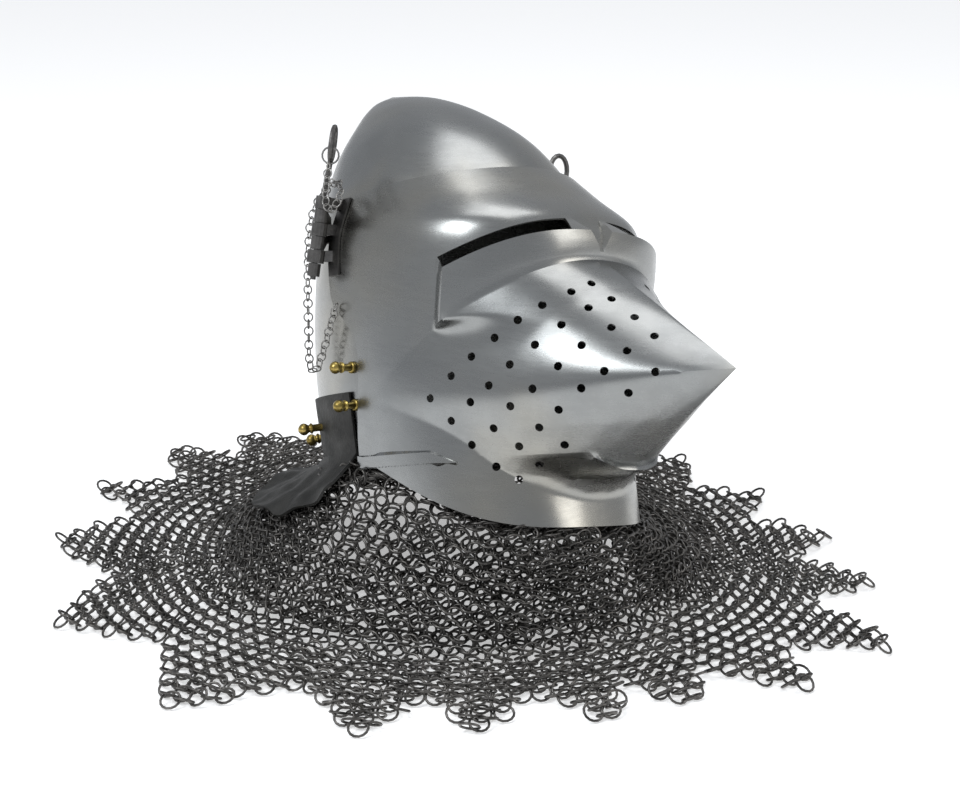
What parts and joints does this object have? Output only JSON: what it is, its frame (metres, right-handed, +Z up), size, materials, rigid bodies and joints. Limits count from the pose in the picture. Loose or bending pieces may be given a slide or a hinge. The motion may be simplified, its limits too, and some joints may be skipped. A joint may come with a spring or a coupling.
{
  "type": "hounskull bascinet helmet",
  "caption": "Pointed steel helmet with a side-hinged snouted visor, chained hinge pins, brass staples and a leather band, lying on its spread mail neck guard.",
  "frame": {"origin": "centre of the bounding box's underside, on the floor that the mail lies on", "axes": "+Z up from the floor; the picture looks along +Y from the -Y side, and +X is to its right; the helmet's snout points between -Y and +X"},
  "size_m": [0.582, 0.5884, 0.3044],
  "materials": {
    "polished_steel": "satin polished sheet steel",
    "dark_steel": "dark forged steel",
    "blackened_wire": "blackened round wire",
    "aged_brass": "aged turned brass",
    "black_leather": "black leather"
  },
  "bodies": {
    "root": {"skull": "polished_steel", "pivot_stud_left": "dark_steel", "pivot_stud_right": "dark_steel", "vervelle_back": "aged_brass", "vervelle_left_1": "aged_brass", "vervelle_left_2": "aged_brass", "vervelle_left_3": "aged_brass", "vervelle_left_4": "aged_brass", "vervelle_right_1": "aged_brass", "vervelle_right_2": "aged_brass", "vervelle_right_3": "aged_brass", "vervelle_right_4": "aged_brass", "leather_band": "black_leather", "mail_aventail": "blackened_wire"},
    "visor": {"visor": "polished_steel", "hinge_front_leaf_left": "dark_steel", "hinge_front_leaf_right": "dark_steel", "hinge_rear_leaf_left": "dark_steel", "hinge_rear_leaf_right": "dark_steel", "hinge_pin_left": "dark_steel", "hinge_pin_right": "dark_steel", "split_ring_left": "blackened_wire", "split_ring_right": "blackened_wire", "pin_chain_left": "blackened_wire", "pin_chain_right": "blackened_wire"}
  },
  "joints": [
    {"name": "visor_pivot", "type": "hinge", "parent": "root", "child": "visor", "pos_m": [-0.02518, 0.07849, 0.2052], "axis": [-0.7366, -0.638, 0.2244], "range_deg": [0, 90]}
  ]
}
